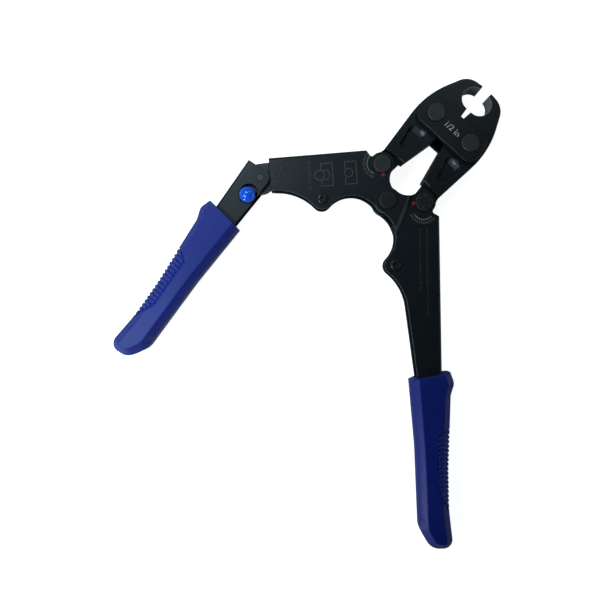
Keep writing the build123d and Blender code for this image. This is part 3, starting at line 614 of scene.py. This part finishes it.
def lay_print(form, name, spot, body, ink, turn=-camera_turn):
    """Flat form in millimetres given the thickness of ink, turned in the picture and laid at a spot."""
    lifted = bmesh.ops.extrude_face_region(form, geom=form.faces[:])["geom"]
    top = [part for part in lifted if isinstance(part, bmesh.types.BMVert)]
    bmesh.ops.translate(form, verts=top, vec=(0, 0, ink_height))
    bmesh.ops.recalc_face_normals(form, faces=form.faces)
    home = Matrix.Translation(spot) @ Matrix.Rotation(camera_turn + turn, 4, "Z") @ Matrix.Scale(mm, 4)
    bmesh.ops.transform(form, matrix=home, verts=form.verts)
    piece = new_piece(name, form, ink)
    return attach(piece, body)


def bar(form, middle, size, turn=0.0):
    """Flat bar about a middle, turned about it."""
    place = Matrix.Translation((*middle, 0)) @ Matrix.Rotation(turn, 4, "Z") @ Matrix.Diagonal((*size, 1, 1))
    bmesh.ops.create_grid(form, x_segments=1, y_segments=1, size=0.5, matrix=place)


def band(form, radius, width, start, sweep, middle=(0, 0)):
    """Flat band along an arc, from a start angle through a sweep, in degrees."""
    aim = Vector((math.cos(math.radians(start)), math.sin(math.radians(start)), 0))
    centre = Vector((*middle, 0))
    ends = [form.verts.new(centre + aim * (radius + side * width / 2)) for side in (-1, 1)]
    edge = form.edges.new(ends)
    bmesh.ops.spin(form, geom=[*ends, edge], cent=centre, axis=(0, 0, 1), angle=math.radians(sweep),
                   steps=max(least_steps, round(abs(sweep) / band_step)), use_merge=abs(sweep) == 360)


print("ink is", ink_height, "mm thick")

# %% [markdown]
# Beside each dial the lever carries an arc with graduations and a red index dot. The arc is a band, spun
# from one short edge about the dial's middle. The graduations are bars along a wider circle, and the dot is
# a filled circle.

# %% Arcs, graduations and index dots beside the dials
arc_radius = 8.1
arc_width = 0.75
graduation_radius = 10.6
graduation_size = (1.7, 0.42)
graduation_count = 13
dot_sides = 24


def dial_print(side, arc_seen, start, sweep, dot_seen, dot_radius):
    """Arc, graduations and red dot of one dial; the angles are those of the picture."""
    body = side + "_lever"
    dot_spot = seen_on(body, dot_seen)
    middle = seen_at(dot_spot.z, arc_seen)
    arc = bmesh.new()
    band(arc, arc_radius, arc_width, start, sweep)
    lay_print(arc, side + "_dial_arc", middle, body, gold_ink, turn=0.0)
    ticks = bmesh.new()
    for step in range(graduation_count):
        angle = math.radians(start + sweep * step / (graduation_count - 1))
        spot = (graduation_radius * math.cos(angle), graduation_radius * math.sin(angle))
        bar(ticks, spot, graduation_size, angle)
    lay_print(ticks, side + "_dial_graduations", middle, body, gold_ink, turn=0.0)
    drop = bmesh.new()
    bmesh.ops.create_circle(drop, cap_ends=True, segments=dot_sides, radius=dot_radius)
    lay_print(drop, side + "_index_dot", dot_spot, body, red_ink)
    return middle


left_arc_middle = dial_print("left", arc_seen=(377.5, 163.4), start=136, sweep=115,
                             dot_seen=(383.2, 174.5), dot_radius=1.45)
right_arc_middle = dial_print("right", arc_seen=(423.6, 208.9), start=206, sweep=111,
                              dot_seen=(413.7, 203.4), dot_radius=1.25)
for middle in (left_arc_middle, right_arc_middle):
    print("arc about", [round(v / mm, 1) for v in middle])

# %% [markdown]
# Plain scales of fine ticks stand on both levers. A tick is a flat bar, and a loop sets one every two
# millimetres along a line of the picture, every fifth one longer.

# %% Plain scales on the levers
tick_pitch = 2.0
tick_width = 0.40
long_every = 5
short_share = 0.65


def plain_scale(name, body, first_seen, last_seen, length):
    """Row of ticks along a line of the picture, every fifth one longer."""
    start = seen_on(body, first_seen)
    end = seen_on(body, last_seen)
    run = (end - start) / mm
    ticks = bmesh.new()
    for step in range(int(run.length / tick_pitch) + 1):
        reach = length if step % long_every == 0 else short_share * length
        bar(ticks, (step * tick_pitch, reach / 2 - length / 2), (tick_width, reach))
    return lay_print(ticks, name, start, body, faint_ink, turn=math.atan2(run.y, run.x) - camera_turn)


plain_scale("right_outer_scale", "right_lever", first_seen=(427.3, 229), last_seen=(428.3, 317.5), length=1.9)
plain_scale("right_inner_scale", "right_lever", first_seen=(420.0, 229.5), last_seen=(421.0, 292), length=1.9)
plain_scale("left_scale", "left_lever", first_seen=(308.8, 162.5), last_seen=(310.7, 190), length=2.3)
print("three scales at", tick_pitch, "mm")

# %% [markdown]
# The two diagrams each show a frame for the die and a circle for the ring. In the first the ring stands
# half outside its frame with a second, hidden circle beside it, in the second it sits in the frame's open
# side. They are thin outlines of bars and bands, which meet end to end and never overlap.

# %% Diagrams on the left lever
line_width = 0.55
frame_size = Vector((8.7, 17.0))
diagram_turn = math.radians(4.0)
hidden_line = 0.8 * line_width
hidden_start, hidden_sweep = -112, 224
hidden_shift = 1.05  # in radii of the ring


def die_diagram(name, middle_seen, gap, ring_at, ring_radius, hidden_ring):
    """Frame with a gap in its left side and a ring there, in millimetres about the frame's middle."""
    half = frame_size / 2
    lines = bmesh.new()
    for level in (-1, 1):
        bar(lines, (0, level * half.y), (frame_size.x + line_width, line_width))
        stub = half.y - line_width / 2 - gap / 2
        bar(lines, (-half.x, level * (gap / 2 + stub / 2)), (line_width, stub))
    bar(lines, (half.x, 0), (line_width, frame_size.y - line_width))
    band(lines, ring_radius, line_width, 0, 360, ring_at)
    if hidden_ring:
        behind = (ring_at[0] + hidden_shift * ring_radius, ring_at[1])
        band(lines, ring_radius, hidden_line, hidden_start, hidden_sweep, behind)
    spot = seen_on("left_lever", middle_seen)
    return lay_print(lines, name, spot, "left_lever", faint_ink, turn=diagram_turn)


die_diagram("left_open_diagram", middle_seen=(327.0, 174.6), gap=7.6, ring_at=(-5.6, -0.1), ring_radius=3.7,
            hidden_ring=True)
die_diagram("left_shut_diagram", middle_seen=(350.8, 172.6), gap=7.0, ring_at=(-1.7, 0.1), ring_radius=3.2,
            hidden_ring=False)
print("two diagrams,", frame_size.x, "by", frame_size.y, "mm")

# %% [markdown]
# Figures are Blender text. A text object can only be printed as a mesh, so it is turned into one first and
# then laid like any other flat form. The strap carries the ring size in inches, and the right dial carries
# plain numbers.

# %% Figures on the strap and the dials
stroke_swell = 0.012  # share of the figures' size
weld_print = 0.0001


def figures(words, size):
    """Flat figures about their own middle."""
    writing = bpy.data.curves.new("figures", "FONT")
    writing.body = words
    writing.size = size
    writing.offset = stroke_swell * size
    writing.align_x = "CENTER"
    writing.align_y = "CENTER"
    holder = bpy.data.objects.new("figures", writing)
    flat = bpy.data.meshes.new_from_object(holder)
    form = bmesh.new()
    form.from_mesh(flat)
    bmesh.ops.remove_doubles(form, verts=form.verts, dist=weld_print)
    bpy.data.objects.remove(holder)
    bpy.data.meshes.remove(flat)
    return form


def joint_named(name):
    """What the frame says of one joint."""
    return next(joint for joint in frame["joints"] if joint["name"] == name)


mark_size = 6.4
mark_seen = (452.3, 128.7)
mark_spot = seen_on("front_strap", mark_seen)
size_mark = lay_print(figures("1/2 in", mark_size), "strap_size_mark", mark_spot, "head", size_ink)

dial_numbers = 6
number_size = 2.4
number_radius = 4.4
right_dial_face = Vector(joint_named("right_dial_turn")["pos_m"])
right_dial_face.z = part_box("right_dial_bolt")[1].z
for number in range(dial_numbers):
    angle = 2 * math.pi * number / dial_numbers
    spot = right_dial_face + Vector((math.cos(angle), math.sin(angle), 0)) * number_radius * mm
    word = str(number + 1)
    lay_print(figures(word, number_size), "right_dial_number_" + word, spot, "right_dial", faint_ink,
              turn=angle - math.pi / 2 - camera_turn)

index_size = (0.35, 2.6)
index_seen = (383.0, 169.3)
index_line = bmesh.new()
bar(index_line, (0, 0), index_size)
index_spot = seen_on("left_dial_bolt", index_seen)
lay_print(index_line, "left_dial_index", index_spot, "left_dial", faint_ink, turn=0.0)
print("size mark of", len(size_mark.data.polygons), "faces and", dial_numbers, "dial numbers")

# %% [markdown]
# ## Rivet rims and a punch mark
# The two rivets of the hinge block are set flush and leave a fine raised rim where the punch spread them. A
# rim is a small half-round profile spun once round the rivet. On the rear arm a single centre punch mark
# shows as a pale speck, which is a tiny ring as well.

# %% Spun rims
bead_angles = [math.radians(angle) for angle in range(-30, 211, 40)]
rim_steps = 48


def smooth_faces(form):
    """Shade every face of a form smoothly."""
    for face in form.faces:
        face.smooth = True


def spun_rim(name, spot, body, radius, bead):
    """Half-round bead spun round a vertical axis at a spot, in millimetres."""
    form = bmesh.new()
    corners = [form.verts.new((radius + bead * math.cos(angle), 0, bead * math.sin(angle)))
               for angle in bead_angles]
    edges = [form.edges.new(pair) for pair in zip(corners, corners[1:])]
    bmesh.ops.spin(form, geom=[*corners, *edges], cent=(0, 0, 0), axis=(0, 0, 1), angle=2 * math.pi,
                   steps=rim_steps, use_merge=True)
    bmesh.ops.recalc_face_normals(form, faces=form.faces)
    smooth_faces(form)
    bmesh.ops.transform(form, matrix=Matrix.Translation(spot) @ Matrix.Scale(mm, 4), verts=form.verts)
    piece = new_piece(name, form, hardware_black)
    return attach(piece, body)


lever_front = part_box("left_lever")[1].z
rivet_places = {"outer_rivet_rim": (-74.57 * mm, -32.90 * mm), "inner_rivet_rim": (-73.67 * mm, -43.06 * mm)}
for name, place in rivet_places.items():
    spun_rim(name, Vector((*place, lever_front)), "left_lever", radius=3.15, bead=0.22)
punch_seen = (235.6, 211.4)
punch_spot = seen_on("rear_arm", punch_seen)
punch_mark = spun_rim("arm_punch_mark", punch_spot, "rear_arm", radius=0.32, bead=0.14)
print("punch mark triangles", 2 * len(punch_mark.data.polygons))

# %% [markdown]
# ## Whole grips
# The right lever and the rear arm each end in a flat tang, which fills a pocket in the grip. Near the
# pocket's end the corners of the tang come so close to the slanted inner faces that the solid's wall runs
# out there. A moulder keeps that wall closed. The solid keeps its mesh, so a copy stands in for it. First
# the pocket is taken out of the copy: its walls are found by the tang that lies just in front of them, and
# the search spreads from there to the walls that face them. The openings that this leaves, the mouth among
# them, are filled flat.

# %% Grips without their pockets
touch = 0.2 * mm  # tang to pocket wall, at most
pocket_span = 30 * mm  # across the pocket, at most
off_wall = 0.01 * mm
weld_grip = 0.002 * mm


def pocket_walls(form, lever):
    """Faces of the pocket that the tang of a lever fills."""
    tang = BVHTree.FromObject(nodes[lever], bpy.context.evaluated_depsgraph_get())
    own = BVHTree.FromBMesh(form)

    def in_pocket(face):
        """Whether the face looks at another wall of the grip, or has all its corners on the tang."""
        above = face.calc_center_median() + face.normal * off_wall
        opposite = own.ray_cast(above, face.normal, pocket_span)[0] is not None
        return opposite or all(tang.find_nearest(corner.co)[3] < touch for corner in face.verts)

    walls = {face for face in form.faces
             if tang.ray_cast(face.calc_center_median(), face.normal, touch)[0] is not None}
    fresh = list(walls)
    while fresh:
        beside = {other for edge in fresh.pop().edges for other in edge.link_faces} - walls
        grown = [other for other in beside if in_pocket(other)]
        walls.update(grown)
        fresh.extend(grown)
    return [face for face in form.faces if face in walls]


def without_pocket(node, lever):
    """Copy of a grip with its pocket taken out and the openings filled."""
    form = bmesh.new()
    form.from_mesh(nodes[node].data)
    bmesh.ops.remove_doubles(form, verts=form.verts, dist=weld_grip)
    walls = pocket_walls(form, lever)
    print(node, "loses", len(walls), "of", len(form.faces), "faces")
    bmesh.ops.delete(form, geom=walls, context="FACES")
    bmesh.ops.holes_fill(form, edges=[edge for edge in form.edges if edge.is_boundary])
    bmesh.ops.recalc_face_normals(form, faces=form.faces)
    return form


lever_of_grip = {"right_grip": "right_lever", "left_grip": "rear_arm"}
grip_forms = {node: without_pocket(node, lever) for node, lever in lever_of_grip.items()}

# %% [markdown]
# The slanted inner faces, where the fingers pull, are slightly crowned on such a grip. They are joined
# where they lie in one plane and cut straight across before the rounded heel. Then the whole run is inset
# and raised by half a millimetre, which also covers the corners of the tang.

# %% Crowned inner faces
slant = (0.5, 0.75)  # rise of a slanted face's normal
slant_inward = 0.3  # least lean of that normal towards the other grip
one_plane = math.radians(0.5)
crown_edge = 2.2 * mm
crown_rise = 0.5 * mm
crown_bend = math.radians(20)  # from the largest slanted face, in plan
crown_stop = 4.5 * mm  # before the end of that face
hard_edge = math.radians(28)


def slanted(form, inner_side):
    """Slanted faces of the inner side, which lies towards plus or minus X."""
    return [face for face in form.faces
            if slant[0] < abs(face.normal.z) < slant[1] and face.normal.x * inner_side > slant_inward]


def crown(form, inner_side):
    """Inset and raise the run of slanted faces up to the heel."""
    slants = set(slanted(form, inner_side))
    shared = [edge for edge in form.edges if slants.issuperset(edge.link_faces)]
    bmesh.ops.dissolve_limit(form, angle_limit=one_plane, edges=shared)
    run = slanted(form, inner_side)
    flat = max(run, key=lambda face: face.calc_area())
    facing = flat.normal.xy.normalized()
    tailward = facing.orthogonal()
    tailward *= math.copysign(1, tailward.dot(flat.calc_center_median().xy))
    cut_at = max(corner.co.xy.dot(tailward) for corner in flat.verts) - crown_stop
    parts = dict.fromkeys(part for face in run for part in (face, *face.edges, *face.verts))
    cut_spot = (*(tailward * cut_at), 0)
    bmesh.ops.bisect_plane(form, geom=list(parts), plane_co=cut_spot, plane_no=(*tailward, 0))
    run = [face for face in slanted(form, inner_side) if facing.angle(face.normal.xy) < crown_bend]
    run = [face for face in run if face.calc_center_median().xy.dot(tailward) < cut_at]
    bmesh.ops.inset_region(form, faces=run, thickness=crown_edge, depth=crown_rise, use_even_offset=True,
                           use_boundary=True)
    smooth_faces(form)
    for edge in form.edges:
        edge.smooth = edge.is_manifold and edge.calc_face_angle() < hard_edge


for node, lever in lever_of_grip.items():
    low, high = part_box(node)
    crown(grip_forms[node], -math.copysign(1, low.x + high.x))
    piece = new_piece("whole_" + node, grip_forms[node], grip_plastic)
    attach(piece, lever)
    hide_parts(node)
    print(piece.name, "has", len(piece.data.polygons), "faces")

# %% [markdown]
# ## The lock spring
# A coil spring under the button pushes the lock up. The solid's wire is drawn with flat sides, so a smooth
# coil takes its place: a circle of wire is spun five times round the spring's axis while it climbs, and
# both ends are capped.

# %% Smooth coil
spring_low, spring_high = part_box("lock_spring")
spring_axis = (spring_low + spring_high) / 2
wire_radius = 0.4 * mm
coil_radius = (spring_high.x - spring_low.x) / 2 - wire_radius
coil_turns = 5
turn_steps = 40
wire_sides = 12
climb = spring_high.z - spring_low.z - 2 * wire_radius

coil_form = bmesh.new()
upright = Matrix.Translation((coil_radius, 0, 0)) @ Matrix.Rotation(math.pi / 2, 4, "X")
bmesh.ops.create_circle(coil_form, segments=wire_sides, radius=wire_radius, matrix=upright)
wire_ring = [*coil_form.verts, *coil_form.edges]
bmesh.ops.spin(coil_form, geom=wire_ring, cent=(0, 0, 0), axis=(0, 0, 1),
               angle=2 * math.pi * coil_turns, steps=coil_turns * turn_steps,
               dvec=(0, 0, climb / (coil_turns * turn_steps)))
bmesh.ops.holes_fill(coil_form, edges=[edge for edge in coil_form.edges if edge.is_boundary])
bmesh.ops.recalc_face_normals(coil_form, faces=coil_form.faces)
smooth_faces(coil_form)
coil_base = Vector((spring_axis.x, spring_axis.y, spring_low.z + wire_radius))
bmesh.ops.translate(coil_form, verts=coil_form.verts, vec=coil_base)
lock_coil = new_piece("lock_coil", coil_form, spring_bright)
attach(lock_coil, "rear_arm")
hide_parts("lock_spring")
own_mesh(lock_coil)

# %% [markdown]
# ## The size of the dressed plier
# The dressed plier has to keep the size of its solids, so the growth of its box is printed.

# %% Finish
dressed_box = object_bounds()
growth = (dressed_box[1] - dressed_box[0]) - (cad_box[1] - cad_box[0])
print("box grew by", [round(length / mm, 2) for length in growth])
